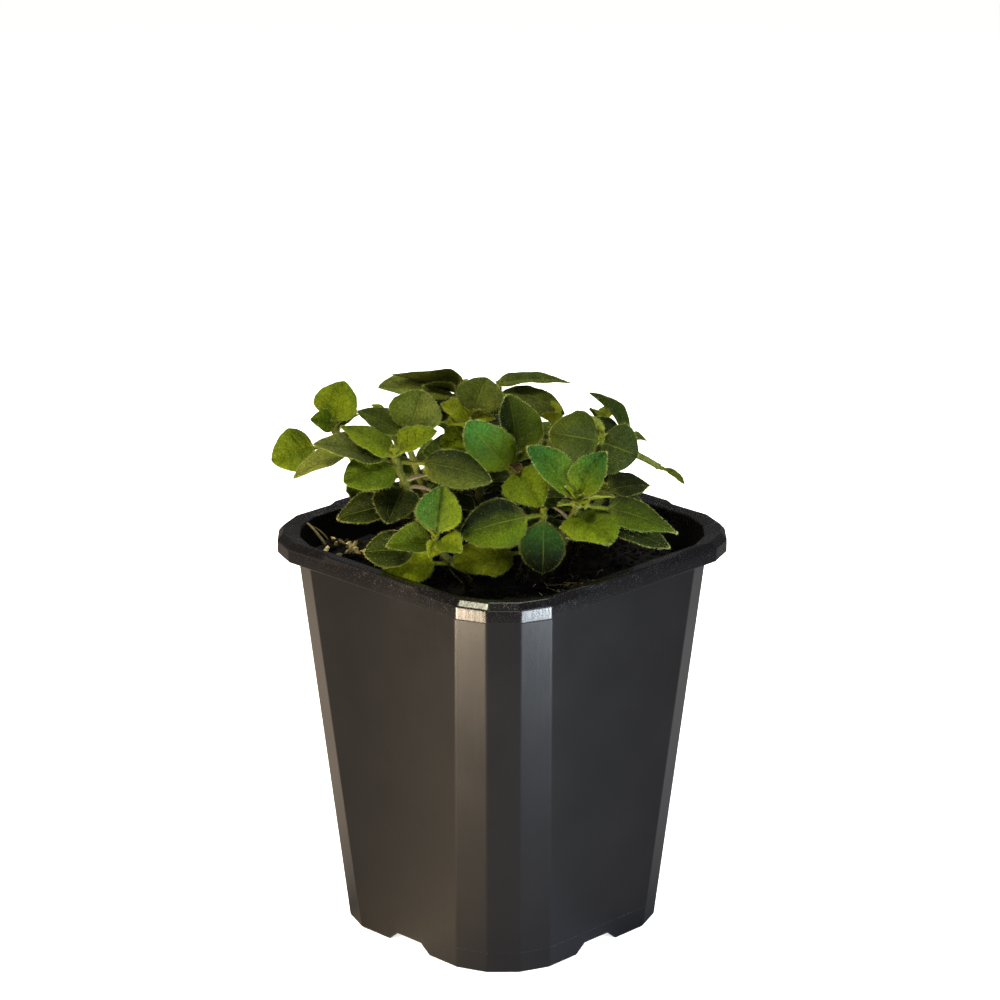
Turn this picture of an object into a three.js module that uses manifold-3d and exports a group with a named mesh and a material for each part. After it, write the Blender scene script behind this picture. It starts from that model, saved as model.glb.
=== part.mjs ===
// A young oregano plant in its square nursery pot.
//
// Millimetres, +Z up. The origin is the middle of the pot's foot, on the surface that the pot
// stands on. The pot's sides run along X and Y, and its front corner points to -X -Y.
// Each leafy stem grew as one piece with its leaves, so it is one closed solid. The stems stand
// in plain holes in the potting mix, and the mix fills the pot.
import * as THREE from "three";
import { mergeVertices } from "three/addons/utils/BufferGeometryUtils.js";
import Module from "manifold-3d";

const wasm = await Module();
wasm.setup();

const rad = THREE.MathUtils.degToRad;

// ---------------------------------------------------------------- driving dimensions

const POT = {
  height: 114,
  footHalf: 36.9, // half the width across the flats at the foot
  shoulderHalf: 46.2, // the same just under the rim
  shoulderZ: 108.5, // lower edge of the turned-down rim
  facet: 9, // width of each of the three facets that turn a corner
  wall: 1.2,
  floorZ: 5.3, // underside of the floor, above the foot
  footBevel: 0.5,
};
const RIM = {
  half: 50, // half the width across the flats of the rim band
  facet: 8.8,
  bandTop: 112.2,
  ridgeHalf: 48.4, // crest of the bevel above the band
  ridgeFacet: 8.2,
  skin: 1.2, // thickness of the band, which is open underneath
  under: 111.8, // height of the hollow under the rim
  lipZ: 113.2, // inner edge of the top, a little lower than the crest
};
const CORNER_TURN = rad(22.5); // between one facet and the next
const FILLED = { from: 0.5, to: 0.6 }; // the bevel is filled within this share of each flat
const NOTCH = { half: 8.1, topHalf: 4.8, rise: 2.7, ease: 0.55, steps: 5 }; // arch in each side
const DRAIN = { radius: 4, reach: 19, sides: 12 };

const MIX = {
  surface: 103, // mean height of the surface
  gap: 0.3, // clearance to the pot and to the stems
  rings: [1, 0.93, 0.84, 0.73, 0.61, 0.49, 0.37, 0.25, 0.13],
  lump: 0.7,
};

const STEM = {
  buried: 12, // depth of a stem's foot below the surface
  collar: 2.2, // straight length above the surface, before the stem leans
  lap: 0.4, // how far the foot runs into the leaning stem
  foot: 1.15, // radius
  tip: 0.75,
  kneeOut: 0.6, // where the stem turns up, as shares of its way out and up
  kneeUp: 0.45,
  arch: 2, // rise of a branch between its ends
  sides: 6,
  steps: 7,
};
const BLADE = {
  thick: 0.7,
  rows: [0.14, 0.4, 0.68, 0.9, 1], // shares of the blade, from its foot to its tip
  youngRows: [0.3, 0.75, 1], // the same on a leaf under youngLength
  youngLength: 9.1,
  stalkHalf: 0.5,
  stalk: 0.15, // share of a leaf that is its stalk, unless its row says another
  bend: 25, // how far a leaf droops along its length, in degrees
  cup: 0.12, // how far its margins stand above its midrib, as a share of its half width
};
const LOWER_PAIR = { rise: 4, slim: 0.78 }; // slim is the width as a share of the length
const RULED_PAIRS = {
  length: [7.2, 12.3, 15.9, 16.9], // of the four pairs, from the tip down
  rise: [48, 26, 12, 2],
  apart: 0.16, // share of the stem between one pair and the next
  turn: 90,
  slim: 0.79,
  spread: { length: 0.25, heading: 30, rise: 14, slim: 0.1, roll: 24 }, // range of each draw
};

const FINISH = {
  pot: { color: 0x2b2a2b, roughness: 0.42, metalness: 0 },
  leaf: { color: 0x4f6f22, roughness: 0.6, metalness: 0 },
  mix: { color: 0x17120e, roughness: 0.95, metalness: 0 },
};

// ---------------------------------------------------------------- closed solids and joins

// A closed mesh from rings of points that all have the same count. The first and last rings
// are closed by fans to their middles, so the rings run from one end of the solid to the other.
function loft(rings) {
  const count = rings[0].length;
  const middle = (ring) =>
    ring.reduce((sum, p) => sum.add(p), new THREE.Vector3()).divideScalar(ring.length);
  const points = [middle(rings[0]), ...rings.flat(), middle(rings[rings.length - 1])];
  const at = (ring, i) => 1 + ring * count + (i % count);
  const faces = [];
  for (let i = 0; i < count; i++) {
    faces.push(0, at(0, i + 1), at(0, i));
    faces.push(points.length - 1, at(rings.length - 1, i), at(rings.length - 1, i + 1));
  }
  for (let r = 0; r + 1 < rings.length; r++) {
    for (let i = 0; i < count; i++) {
      faces.push(at(r, i), at(r, i + 1), at(r + 1, i + 1));
      faces.push(at(r, i), at(r + 1, i + 1), at(r + 1, i));
    }
  }
  return new THREE.BufferGeometry().setFromPoints(points).setIndex(faces);
}

// The closed geometry as a solid that can be joined and cut.
function solidOf(geometry) {
  const bare = geometry.clone();
  bare.deleteAttribute("normal");
  bare.deleteAttribute("uv");
  const merged = mergeVertices(bare, 1e-4);
  return new wasm.Manifold(
    new wasm.Mesh({
      numProp: 3,
      vertProperties: new Float32Array(merged.attributes.position.array),
      triVerts: new Uint32Array(merged.index.array),
    }),
  );
}

function geometryOf(solid) {
  const made = solid.getMesh();
  return new THREE.BufferGeometry()
    .setAttribute("position", new THREE.BufferAttribute(made.vertProperties, 3))
    .setIndex(new THREE.BufferAttribute(made.triVerts, 1));
}

function namedMesh(name, solid, finish) {
  const mesh = new THREE.Mesh(geometryOf(solid), new THREE.MeshStandardMaterial(finish));
  mesh.name = name;
  mesh.geometry.computeVertexNormals();
  return mesh;
}

// ---------------------------------------------------------------- pot

// One ring of the pot's section: a square whose corners are turned by three facets of equal
// width and equal turn. fill pushes the middle stretch of each flat outwards.
function section(half, facet, z, fill = 0) {
  const turn = CORNER_TURN;
  const setback = facet * (Math.cos(turn) + Math.cos(2 * turn) + Math.cos(3 * turn));
  const flat = half - setback;
  const ring = [];
  for (let side = 0; side < 4; side++) {
    const local = [
      [half, -flat],
      [half, -flat * FILLED.to],
      [half + fill, -flat * FILLED.from],
      [half + fill, flat * FILLED.from],
      [half, flat * FILLED.to],
      [half, flat],
    ];
    for (const step of [1, 2]) {
      const [x, y] = local[local.length - 1];
      local.push([x - facet * Math.sin(step * turn), y + facet * Math.cos(step * turn)]);
    }
    const out = new THREE.Vector2();
    for (const [x, y] of local) {
      out.set(x, y).rotateAround(new THREE.Vector2(), (side * Math.PI) / 2);
      ring.push(new THREE.Vector3(out.x, out.y, z));
    }
  }
  return ring;
}

// Half width of the pot's outer wall at a height: the wall tapers evenly to the foot.
function outerHalf(z) {
  return POT.footHalf + ((POT.shoulderHalf - POT.footHalf) * z) / POT.shoulderZ;
}

// The same section, moved inwards by a distance: its facets shorten with it.
function insetSection(z, inset) {
  const facet = POT.facet - 2 * inset * Math.tan(CORNER_TURN / 2);
  return section(outerHalf(z) - inset, facet, z);
}

function notchCutter() {
  const shape = new THREE.Shape();
  shape.moveTo(-NOTCH.half, -1);
  shape.lineTo(-NOTCH.half, 0);
  const bend = (NOTCH.half - NOTCH.topHalf) * NOTCH.ease;
  shape.bezierCurveTo(
    -NOTCH.half + bend, 0, -NOTCH.topHalf - bend, NOTCH.rise, -NOTCH.topHalf, NOTCH.rise,
  );
  shape.lineTo(NOTCH.topHalf, NOTCH.rise);
  shape.bezierCurveTo(
    NOTCH.topHalf + bend, NOTCH.rise, NOTCH.half - bend, 0, NOTCH.half, 0,
  );
  shape.lineTo(NOTCH.half, -1);
  const length = 2 * RIM.half;
  const along = new THREE.ExtrudeGeometry(shape, {
    depth: length,
    bevelEnabled: false,
    curveSegments: NOTCH.steps,
  });
  return along.rotateX(Math.PI / 2).translate(0, length / 2, 0);
}

function makePot() {
  const floorTop = POT.floorZ + POT.wall;
  const rings = [
    insetSection(POT.floorZ, POT.wall),
    insetSection(0, POT.wall),
    insetSection(0, POT.footBevel),
    insetSection(POT.footBevel, 0),
    insetSection(RIM.under, 0),
    section(RIM.half - RIM.skin, RIM.facet, RIM.under),
    section(RIM.half - RIM.skin, RIM.facet, POT.shoulderZ),
    section(RIM.half, RIM.facet, POT.shoulderZ),
    section(RIM.half, RIM.facet, RIM.bandTop),
    section(RIM.ridgeHalf, RIM.ridgeFacet, POT.height, RIM.half - RIM.ridgeHalf),
    insetSection(RIM.lipZ, POT.wall),
    insetSection(floorTop, POT.wall),
  ];
  let pot = solidOf(loft(rings));
  const notch = notchCutter();
  pot = pot.subtract(solidOf(notch));
  pot = pot.subtract(solidOf(notch.clone().rotateZ(Math.PI / 2)));
  for (const [x, y] of [[0, 0], [1, 1], [1, -1], [-1, 1], [-1, -1]]) {
    const hole = new THREE.CylinderGeometry(DRAIN.radius, DRAIN.radius, 3 * POT.wall, DRAIN.sides);
    hole.rotateX(Math.PI / 2);
    hole.translate(x * DRAIN.reach, y * DRAIN.reach, POT.floorZ + POT.wall / 2);
    pot = pot.subtract(solidOf(hole));
  }
  return pot;
}

// ---------------------------------------------------------------- leafy stems

// Everything that grows is laid out in the plant's own frame, which is turned so that y runs
// from the pot's front corner to its back one: x to the right, y to the back, z up.
const PLANT_TURN = rad(-45);

// Each leafy stem rises from root (x, y) in the mix, or from a point (x, y, z) on the stem it
// branches from, to apex (x, y, z). A leaf's row reads, in degrees and millimetres:
// [share of the stem it stands at, heading from +x, rise, length with stalk, width, roll about
//  its midrib, and where they are unusual: share that is stalk, bend, cup]
// lower lists the opposite pairs inside the plant: [share of the stem, heading of the first
// leaf, length].
const LEAFY_STEMS = {
  front_left: {
    root: [-9, -20], apex: [-18, -33, 122],
    leaves: [
      [1, 60, 68, 14.5, 12.5, 30],
      [0.97, -38, -8, 8.5, 8, 28],
      [0.86, -160, 8, 13.5, 9, -45],
      [1, -107, -30, 6, 4.5, -40],
      [0.5, -168, 2, 19, 11, -42, 0.28],
      [0.78, 172, -2, 21, 12, -42, 0.35],
    ],
  },
  front: {
    root: [5, -14], apex: [11, -24, 126],
    leaves: [
      [1, -162, -8, 25, 13.5, -50, 0.33],
      [0.9, -97, -48, 15, 12.5, -5],
      [0.42, -152, 3, 24, 12, -30, 0.3],
    ],
  },
  right_front: {
    root: [12, -12], apex: [20, -26, 130],
    leaves: [
      [1, 152, 38, 18, 9.5, -40],
      [1, 42, 57, 14.5, 10, 35],
      [0.84, -34, -16, 16, 14, 18, 0.08],
      [0.98, 8, -16, 30, 12.5, 42, 0.35],
      [0.8, -8, -14, 27, 11, 20, 0.4],
      [1, -90, 10, 5, 4, 0],
    ],
    lower: [[0.55, 140, 15]],
  },
  right: {
    root: [17, -5], apex: [27, -11, 128],
    leaves: [
      [1, 22, 2, 14, 12, 20],
      [0.9, 60, 14, 14, 11, 5],
      [0.6, -20, -8, 18, 12, 10, 0.3],
      [1, -110, 30, 6, 5, 0],
    ],
    lower: [[0.42, 30, 15]],
  },
  centre: {
    root: [3, -5], apex: [3, -12, 137],
    leaves: [
      [0.93, -158, 38, 19.5, 14, -85, 0.2],
      [1, 124, 60, 16, 12.5, -15],
      [0.95, -62, -28, 15.5, 13.5, 30],
      [0.97, 35, 40, 12, 7, 20],
      [0.55, -140, 0, 13, 11, 0],
      [0.7, -20, 5, 15, 12, 0],
    ],
    lower: [[0.4, 30, 15]],
  },
  crown: {
    root: [-4, -2], apex: [-8, -5, 147],
    leaves: [
      [1, 75, 52, 11.5, 12.5, 18],
      [1, 0, 0, 5.5, 3.5, 25],
      [0.97, 160, 35, 7, 6, -30],
      [0.97, -150, 10, 7, 6, -30],
      [0.95, -115, -30, 9, 6.5, -20],
      [0.8, -163, 27, 12, 7, -45],
      [0.8, -100, 5, 13, 12, 0],
      [0.7, 70, 8, 13, 11, 0],
    ],
    lower: [[0.55, 30, 15], [0.4, 0, 13]],
  },
  top: {
    root: [-5, 6], apex: [-12, 10, 150],
    leaves: [
      [1, -161, 22, 20.5, 11, 25, 0.15, 25, 0.25],
      [0.97, -162, 19, 24, 10, -18],
      [1, -146, 25, 12, 6, 25],
      [1, 20, 50, 5.5, 5, 0],
      [0.8, 110, 5, 15, 12, 0],
      [0.8, -60, 8, 12, 10, 0],
    ],
    lower: [[0.62, 140, 11], [0.45, 150, 15]],
  },
  left: {
    root: [-14, -8], apex: [-29, -20, 141],
    leaves: [
      [1, 20, 27, 13, 10, 25],
      [1, 166, 22, 16, 11, -20],
      [0.97, -175, 17, 22, 11, -30, 0.2],
      [0.95, -147, 2, 18, 12, -30],
      [0.96, -12, -6, 26, 13, 35, 0.3],
      [0.78, -112, -45, 14, 13, -10],
      [0.65, 178, -16, 22, 12, -45, 0.3],
    ],
    lower: [[0.45, 140, 15]],
    branch: {
      root: [-28, -19, 139], apex: [-49, -8, 140],
      leaves: [
        [1, -165, -6, 14.5, 12.5, -50],
        [0.6, -152, -12, 18, 9.5, -15],
      ],
    },
  },
  left_back: {
    root: [-11, -1], apex: [-26, -13, 144],
    leaves: [
      [1, 58, 60, 14, 14.5, 30],
      [1, 140, 22, 13, 9, -20],
      [0.7, 150, 5, 16, 12, -10],
      [0.7, -20, 5, 14, 11, 10],
    ],
    lower: [[0.52, 140, 15], [0.36, 130, 15]],
  },
  upper_left: {
    root: [-17, 3], apex: [-46, 0, 143],
    leaves: [
      [1, 53, 67, 12.5, 12.5, 20],
      [1, -145, 27, 8, 6.5, -55],
      [1, 16, 28, 9, 5, 5],
      [0.97, 26, 33, 8, 5, 5],
      [0.8, -60, 5, 14, 11, 0],
      [0.75, 110, 10, 14, 11, 0],
    ],
    lower: [[0.55, 70, 15]],
  },
  upper_right: {
    root: [14, 1], apex: [27, -4, 140],
    leaves: [
      [1, -150, 18, 17, 14, -78],
      [1, -21, -13, 12.5, 14, 65],
      [1, 150, 55, 8.5, 5, -30],
      [0.8, 70, 5, 13, 11, 0],
      [0.8, -140, 5, 13, 11, 0],
    ],
    lower: [[0.42, 160, 13]],
    branch: {
      root: [27, -3, 139], apex: [43, 5, 130],
      leaves: [[1, -8, -32, 8.5, 6.5, 15]],
    },
  },
  right_top: {
    root: [17, 8], apex: [35, 8, 138],
    leaves: [
      [1, -170, 44, 16, 10.5, -45],
      [1, 0, -17, 4.5, 5, 20],
      [0.8, 100, -5, 13, 11, 0],
    ],
    lower: [[0.62, 90, 15], [0.45, 160, 13]],
  },
  back_top: {
    root: [0, 11], apex: [-1, 20, 149],
    leaves: [
      [1, 5, -2, 21.5, 11, 5],
      [0.95, -17, 0, 19, 13, 5, 0.12, 60],
      [0.85, 165, 8, 16, 12, 0],
      [0.8, 95, 0, 15, 12, 0],
    ],
    lower: [[0.65, 10, 15], [0.5, 0, 15]],
  },
};

// The stems of the back half carry four opposite pairs each, laid out by a rule. heading is
// that of the pair at the tip.
const BACK_STEMS = {
  back_far_left: { root: [-14, 10], apex: [-31, 20, 138], heading: -180 },
  back_left: { root: [-8, 18], apex: [-16, 35, 136], heading: -165 },
  back_middle: { root: [5, 20], apex: [6, 36, 136], heading: -135 },
  back_right: { root: [12, 15], apex: [28, 34, 133], heading: -128 },
  back_inner: { root: [9, 6], apex: [14, 11, 140], heading: 105 },
};

// A repeatable draw between 0 and 1 for each whole number.
function chance(n) {
  const value = Math.sin(n * 12.9898 + 78.233) * 43758.5453;
  return value - Math.floor(value);
}

// Opposite pairs, each turned a quarter from the last: small and steep at the tip, large and
// flat lower down, with a little of each drawn by chance.
function pairedLeaves(stem, heading) {
  const { length, rise, apart, turn, slim, spread } = RULED_PAIRS;
  const rows = [];
  for (let pair = 0; pair < length.length; pair++) {
    for (let side = 0; side < 2; side++) {
      const n = stem * 31 + pair * 7 + side * 3;
      const draw = (k) => chance(n + k) - 0.5;
      const long = length[pair] * (1 + spread.length * draw(0));
      rows.push([
        1 - apart * pair,
        heading + turn * pair + 180 * side + spread.heading * draw(1),
        rise[pair] + spread.rise * draw(2),
        long,
        long * (slim + spread.slim * draw(3)),
        spread.roll * draw(4),
      ]);
    }
  }
  return rows;
}

// The stem's centre line: a stem in the mix leans outwards first and then turns up, and a
// branch arches a little.
function centreLine({ root, apex }) {
  const end = new THREE.Vector3(...apex);
  if (root.length === 3) {
    const start = new THREE.Vector3(...root);
    const crest = start.clone().lerp(end, 0.5);
    crest.z += STEM.arch;
    return new THREE.QuadraticBezierCurve3(start, crest, end);
  }
  const start = new THREE.Vector3(...root, MIX.surface + STEM.collar);
  const knee = new THREE.Vector3(
    THREE.MathUtils.lerp(start.x, end.x, STEM.kneeOut),
    THREE.MathUtils.lerp(start.y, end.y, STEM.kneeOut),
    THREE.MathUtils.lerp(start.z, end.z, STEM.kneeUp),
  );
  return new THREE.QuadraticBezierCurve3(start, knee, end);
}

// A tapering tube with few sides round the centre line.
function stemSolid(line) {
  const rings = [];
  for (let step = 0; step <= STEM.steps; step++) {
    const share = step / STEM.steps;
    const along = line.getTangent(share);
    const across = new THREE.Vector3(0, 1, 0).cross(along).normalize();
    const over = along.clone().cross(across);
    const radius = THREE.MathUtils.lerp(STEM.foot, STEM.tip, share);
    const centre = line.getPoint(share);
    const ring = [];
    for (let side = 0; side < STEM.sides; side++) {
      const angle = (2 * Math.PI * side) / STEM.sides;
      ring.push(
        centre
          .clone()
          .addScaledVector(across, radius * Math.cos(angle))
          .addScaledVector(over, radius * Math.sin(angle)),
      );
    }
    rings.push(ring);
  }
  return solidOf(loft(rings));
}

// The straight foot of a stem, from its buried end to a little above the mix. Grown on all
// sides, it is what its hole takes out of the mix.
function stemFoot([x, y], grown = 0) {
  const top = MIX.surface + STEM.collar + STEM.lap + grown;
  const bottom = MIX.surface - STEM.buried - grown;
  const radius = STEM.foot + grown;
  const foot = new THREE.CylinderGeometry(radius, radius, top - bottom, STEM.sides);
  foot.rotateX(Math.PI / 2).translate(x, y, (top + bottom) / 2);
  return solidOf(foot);
}

// Half width of an ovate blade with a blunt tip, as a share of its widest, along its length.
function outline(share) {
  return Math.sin(Math.PI * share ** 0.84) ** 0.6;
}

// A leaf: a thin arched blade on its stalk. Rows of three points, left margin, midrib and
// right margin, on the upper and the lower face alike, are joined into one closed skin.
function leafSolid(line, row) {
  const [share, heading, rise, length, width, roll] = row;
  const [stalk = BLADE.stalk, bend = BLADE.bend, cup = BLADE.cup] = row.slice(6);
  const foot = line.getPoint(share);
  const h = rad(heading);
  const r = rad(rise);
  const along = new THREE.Vector3(
    Math.cos(r) * Math.cos(h), Math.cos(r) * Math.sin(h), Math.sin(r),
  );
  const level = new THREE.Vector3(-Math.sin(h), Math.cos(h), 0);
  const side = level.applyAxisAngle(along, rad(roll));
  const up = along.clone().cross(side);
  const rows = [0, ...(stalk > 0.2 ? [stalk] : [])];
  const shares = length < BLADE.youngLength ? BLADE.youngRows : BLADE.rows;
  rows.push(...shares.map((u) => stalk + (1 - stalk) * u));
  const rings = rows.map((t) => {
    const u = Math.max(0, (t - stalk) / (1 - stalk));
    const half = Math.max(BLADE.stalkHalf, (width / 2) * (u < 1 ? outline(u) : 0));
    const arch = length * (rad(bend) / 2) * t * (1 - t);
    const place = (c, drop) =>
      foot
        .clone()
        .addScaledVector(along, length * t)
        .addScaledVector(side, half * c)
        .addScaledVector(up, arch + half * cup * c * c - drop);
    const top = [-1, 0, 1].map((c) => place(c, -BLADE.thick / 2));
    const below = [1, 0, -1].map((c) => place(c, BLADE.thick / 2));
    return [...top, ...below];
  });
  return solidOf(bladeSkin(rings));
}

// The skin of a blade, with its two faces split into triangles alike.
function bladeSkin(rings) {
  const points = rings.flat();
  const faces = [];
  const quad = (a, b, c, d) => faces.push(a, b, c, a, c, d);
  for (let r = 0; r + 1 < rings.length; r++) {
    const [now, next] = [r * 6, r * 6 + 6];
    quad(now + 1, now, next, next + 1);
    quad(next + 1, next + 2, now + 2, now + 1);
    quad(now + 4, next + 4, next + 5, now + 5);
    quad(next + 4, now + 4, now + 3, next + 3);
    quad(now, now + 5, next + 5, next);
    quad(now + 3, now + 2, next + 2, next + 3);
  }
  const last = points.length - 6;
  for (const [a, b, c, d] of [[0, 1, 4, 5], [1, 2, 3, 4]]) {
    quad(a, b, c, d);
    quad(last + d, last + c, last + b, last + a);
  }
  return new THREE.BufferGeometry().setFromPoints(points).setIndex(faces);
}

// The rows of the two like leaves of each lower pair.
function lowerLeaves(pairs = []) {
  return pairs.flatMap(([share, heading, length]) =>
    [0, 180].map((turn) => [
      share, heading + turn, LOWER_PAIR.rise, length, length * LOWER_PAIR.slim, 0,
    ]),
  );
}

function leafyStem(stem) {
  const line = centreLine(stem);
  let solid = stemSolid(line);
  if (stem.root.length === 2) solid = solid.add(stemFoot(stem.root));
  for (const row of [...stem.leaves, ...lowerLeaves(stem.lower)]) {
    solid = solid.add(leafSolid(line, row));
  }
  return stem.branch ? solid.add(leafyStem(stem.branch)) : solid;
}

// ---------------------------------------------------------------- potting mix

// Height of the mix above its mean: broad hollows, crossed by smaller lumps.
function relief(x, y) {
  const broad = Math.sin(0.13 * x + 1.2) * Math.cos(0.11 * y - 0.4);
  const fine = Math.sin(0.71 * x + 0.53 * y) * Math.sin(0.47 * x - 0.83 * y + 2);
  return MIX.lump * (broad + 0.7 * fine);
}

function makeMix(roots) {
  const bottom = POT.floorZ + POT.wall + MIX.gap;
  const inset = POT.wall + MIX.gap;
  const edge = insetSection(MIX.surface, inset);
  const tops = MIX.rings.map((share) =>
    edge.map((p) => {
      const [x, y] = [p.x * share, p.y * share];
      return new THREE.Vector3(x, y, MIX.surface + relief(x, y));
    }),
  );
  let mix = solidOf(loft([insetSection(bottom, inset), ...tops]));
  for (const root of roots) mix = mix.subtract(stemFoot(root, MIX.gap));
  return mix;
}

// ---------------------------------------------------------------- assembly

const oregano = new THREE.Group();
oregano.add(namedMesh("pot", makePot(), FINISH.pot));

Object.values(BACK_STEMS).forEach((stem, i) => {
  stem.leaves = pairedLeaves(i + 1, stem.heading);
});
const stems = Object.entries({ ...LEAFY_STEMS, ...BACK_STEMS });
const plant = new THREE.Group();
plant.rotation.z = PLANT_TURN;
for (const [name, stem] of stems) {
  plant.add(namedMesh(`${name}_stem`, leafyStem(stem), FINISH.leaf));
}
oregano.add(plant);

const roots = stems.map(([, stem]) => {
  const root = new THREE.Vector2(...stem.root).rotateAround(new THREE.Vector2(), PLANT_TURN);
  return [root.x, root.y];
});
oregano.add(namedMesh("potting_mix", makeMix(roots), FINISH.mix));

export default oregano;
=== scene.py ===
from dataclasses import dataclass

import bpy
import numpy as np
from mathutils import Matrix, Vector


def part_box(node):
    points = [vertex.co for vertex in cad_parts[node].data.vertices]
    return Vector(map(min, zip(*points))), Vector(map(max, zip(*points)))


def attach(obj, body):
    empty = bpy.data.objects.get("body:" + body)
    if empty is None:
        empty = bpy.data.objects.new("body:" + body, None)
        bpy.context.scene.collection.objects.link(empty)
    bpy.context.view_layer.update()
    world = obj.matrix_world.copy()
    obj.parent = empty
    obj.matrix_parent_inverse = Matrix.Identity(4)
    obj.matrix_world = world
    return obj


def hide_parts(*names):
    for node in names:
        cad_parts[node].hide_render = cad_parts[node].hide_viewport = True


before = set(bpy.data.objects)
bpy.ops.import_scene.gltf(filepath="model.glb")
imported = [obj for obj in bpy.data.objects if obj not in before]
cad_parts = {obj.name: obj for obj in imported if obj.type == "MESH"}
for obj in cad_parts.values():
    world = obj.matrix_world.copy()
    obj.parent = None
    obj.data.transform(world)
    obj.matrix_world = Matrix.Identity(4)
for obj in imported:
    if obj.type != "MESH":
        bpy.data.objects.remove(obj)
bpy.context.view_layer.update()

# A young oregano plant in its square nursery pot. Sizes are millimetres until a mesh is made.

# ------------------------ pot
# One thin moulded shell of black polypropylene. It is a tapered square whose corners are
# turned by three flat facets. It has a floor with drain holes, a short foot skirt with an arch
# in each side, and a turned-down rim whose bevel is filled along the middle of each side.

MM = 0.001
POT_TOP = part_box("pot")[1]
RIM_HALF = POT_TOP.x / MM  # half the width across the flats of the rim
RIM_CREST = POT_TOP.z / MM
FOOT_HALF, SHOULDER_HALF, SHOULDER_Z = 36.9, 46.2, 108.5
WALL, FLOOR_Z, FACET, RIM_FACET = 1.2, 5.3, 9.0, 8.8
FOOT_BEVEL, BEVEL_Z, CREST_HALF, CREST_FACET = 0.5, 112.2, 48.4, 8.2
RIM_ROOF, RIM_INSIDE = 111.8, 113.2  # under the rim's top, and where its crest meets the inside
CORNER_TURN = np.radians(22.5)
NOTCH_HALF, NOTCH_TOP, NOTCH_RISE = 8.1, 4.8, 2.7
FILL_END, FILL_RUN = 0.6, 0.1  # shares of a flat: where the bevel's filling ends, and its slope
DRAIN_RADIUS, DRAIN_REACH, DRILL_SIDES, DRILL_PAST = 4.0, 19.0, 32, 2.0
EDGE_ROUND = 0.4  # how far the moulded edges are rounded, on each side of an edge
MOULD_LINE_Z, MOULD_LINE_HALF = 6.2, 0.18

PLASTIC_BLACK = (0.0021, 0.0019, 0.0026, 1)
PLASTIC_SCUFF = (0.0078, 0.0064, 0.0069, 1)
DUST_PALE = (0.018, 0.018, 0.0185, 1)


def pot_ring(half, facet, z, fill=0.0):
    """One ring round the pot. Each side is a flat with stations along it, closest over the foot's
    arch, then two corners of the facets, each turned 22.5 degrees from the last. The middle of
    the flat is pushed outwards by fill. The side is turned by quarters for the other three."""
    flat = half - facet * np.cos(CORNER_TURN * np.arange(1, 4)).sum()
    outer = flat * np.array([1, 0.8, FILL_END, FILL_END - FILL_RUN])
    inner = np.linspace(NOTCH_HALF, NOTCH_TOP, 7)
    middle = NOTCH_TOP / 2 * np.array([-1, 0, 1])
    y = np.concatenate([-outer, -inner, middle, inner[::-1], outer[::-1]])
    x = half + fill * np.clip((FILL_END * flat - np.abs(y)) / (FILL_RUN * flat), 0, 1)
    turns = CORNER_TURN * np.arange(1, 3)
    x = np.append(x, half - facet * np.sin(turns).cumsum())
    y = np.append(y, flat + facet * np.cos(turns).cumsum())
    quarter = np.arange(4)[:, None] * np.pi / 2
    ring_x = x * np.cos(quarter) - y * np.sin(quarter)
    ring_y = x * np.sin(quarter) + y * np.cos(quarter)
    return np.stack([ring_x.ravel(), ring_y.ravel(), np.full(x.size * 4, float(z))], axis=1)


def wall_half(z):
    """Half width of the outer wall at a height: it tapers evenly from the shoulder to the foot."""
    return FOOT_HALF + (SHOULDER_HALF - FOOT_HALF) * z / SHOULDER_Z


def wall_ring(z, inset=0.0):
    """The wall's ring at a height, moved inwards. The facets shorten as it moves."""
    return pot_ring(wall_half(z) - inset, FACET - 2 * inset * np.tan(CORNER_TURN / 2), z)


def unit(vectors, least=0.0):
    """The vectors at length 1. least keeps a vector of no length from a division by zero."""
    return vectors / (np.linalg.norm(vectors, axis=-1, keepdims=True) + least)


def circle(count):
    """Angles evenly round a circle."""
    return np.linspace(0, 2 * np.pi, count, endpoint=False)


def eased(grid, lines, reach, closed):
    """Rounds the given lines of a grid of points. Each line is replaced by an arc between two
    points that lie reach away on both sides, with a further line outside each end of the arc,
    which keeps the flats beside it flat."""
    out = []
    for j, line in enumerate(grid):
        if j not in lines or (not closed and j in (0, len(grid) - 1)):
            out.append(line)
            continue
        ends = []
        for other in (grid[j - 1], grid[(j + 1) % len(grid)]):
            step = other - line
            long = np.linalg.norm(step, axis=1, keepdims=True) + 1e-9
            ends.append(step / long * np.minimum(reach, 0.3 * long))
        out.append(line + 1.5 * ends[0])
        for t in (0, 0.33, 0.67, 1):
            out.append(line + (1 - t) ** 2 * ends[0] + t ** 2 * ends[1])
        out.append(line + 1.5 * ends[1])
    return np.array(out)


def skin_faces(rows, columns, start=0):
    """Faces of a closed skin over a grid of rings: squares between the rings, then a fan over
    the first and the last ring, whose middles are the two points after the grid."""
    at = start + np.arange(rows * columns).reshape(rows, columns)
    on = np.roll(at, -1, axis=1)
    squares = np.stack([at[:-1], on[:-1], on[1:], at[1:]], axis=-1).reshape(-1, 4)
    pole = np.full(columns, start + rows * columns)
    fans = [np.stack([pole, on[0], at[0]], axis=1), np.stack([pole + 1, at[-1], on[-1]], axis=1)]
    return squares.tolist() + np.concatenate(fans).tolist()


def skin_points(grid):
    """The points of a closed skin: its grid, then the middles of its first and last rings."""
    poles = np.stack([grid[0].mean(axis=0), grid[-1].mean(axis=0)])
    return np.concatenate([grid.reshape(-1, grid.shape[-1]), poles])


def joined(grids):
    """The points and faces of closed skins over several grids of rings."""
    points, faces = [], []
    for grid in grids:
        faces += skin_faces(*grid.shape[:2], sum(len(p) for p in points))
        points.append(skin_points(grid))
    return np.concatenate(points), faces


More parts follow.
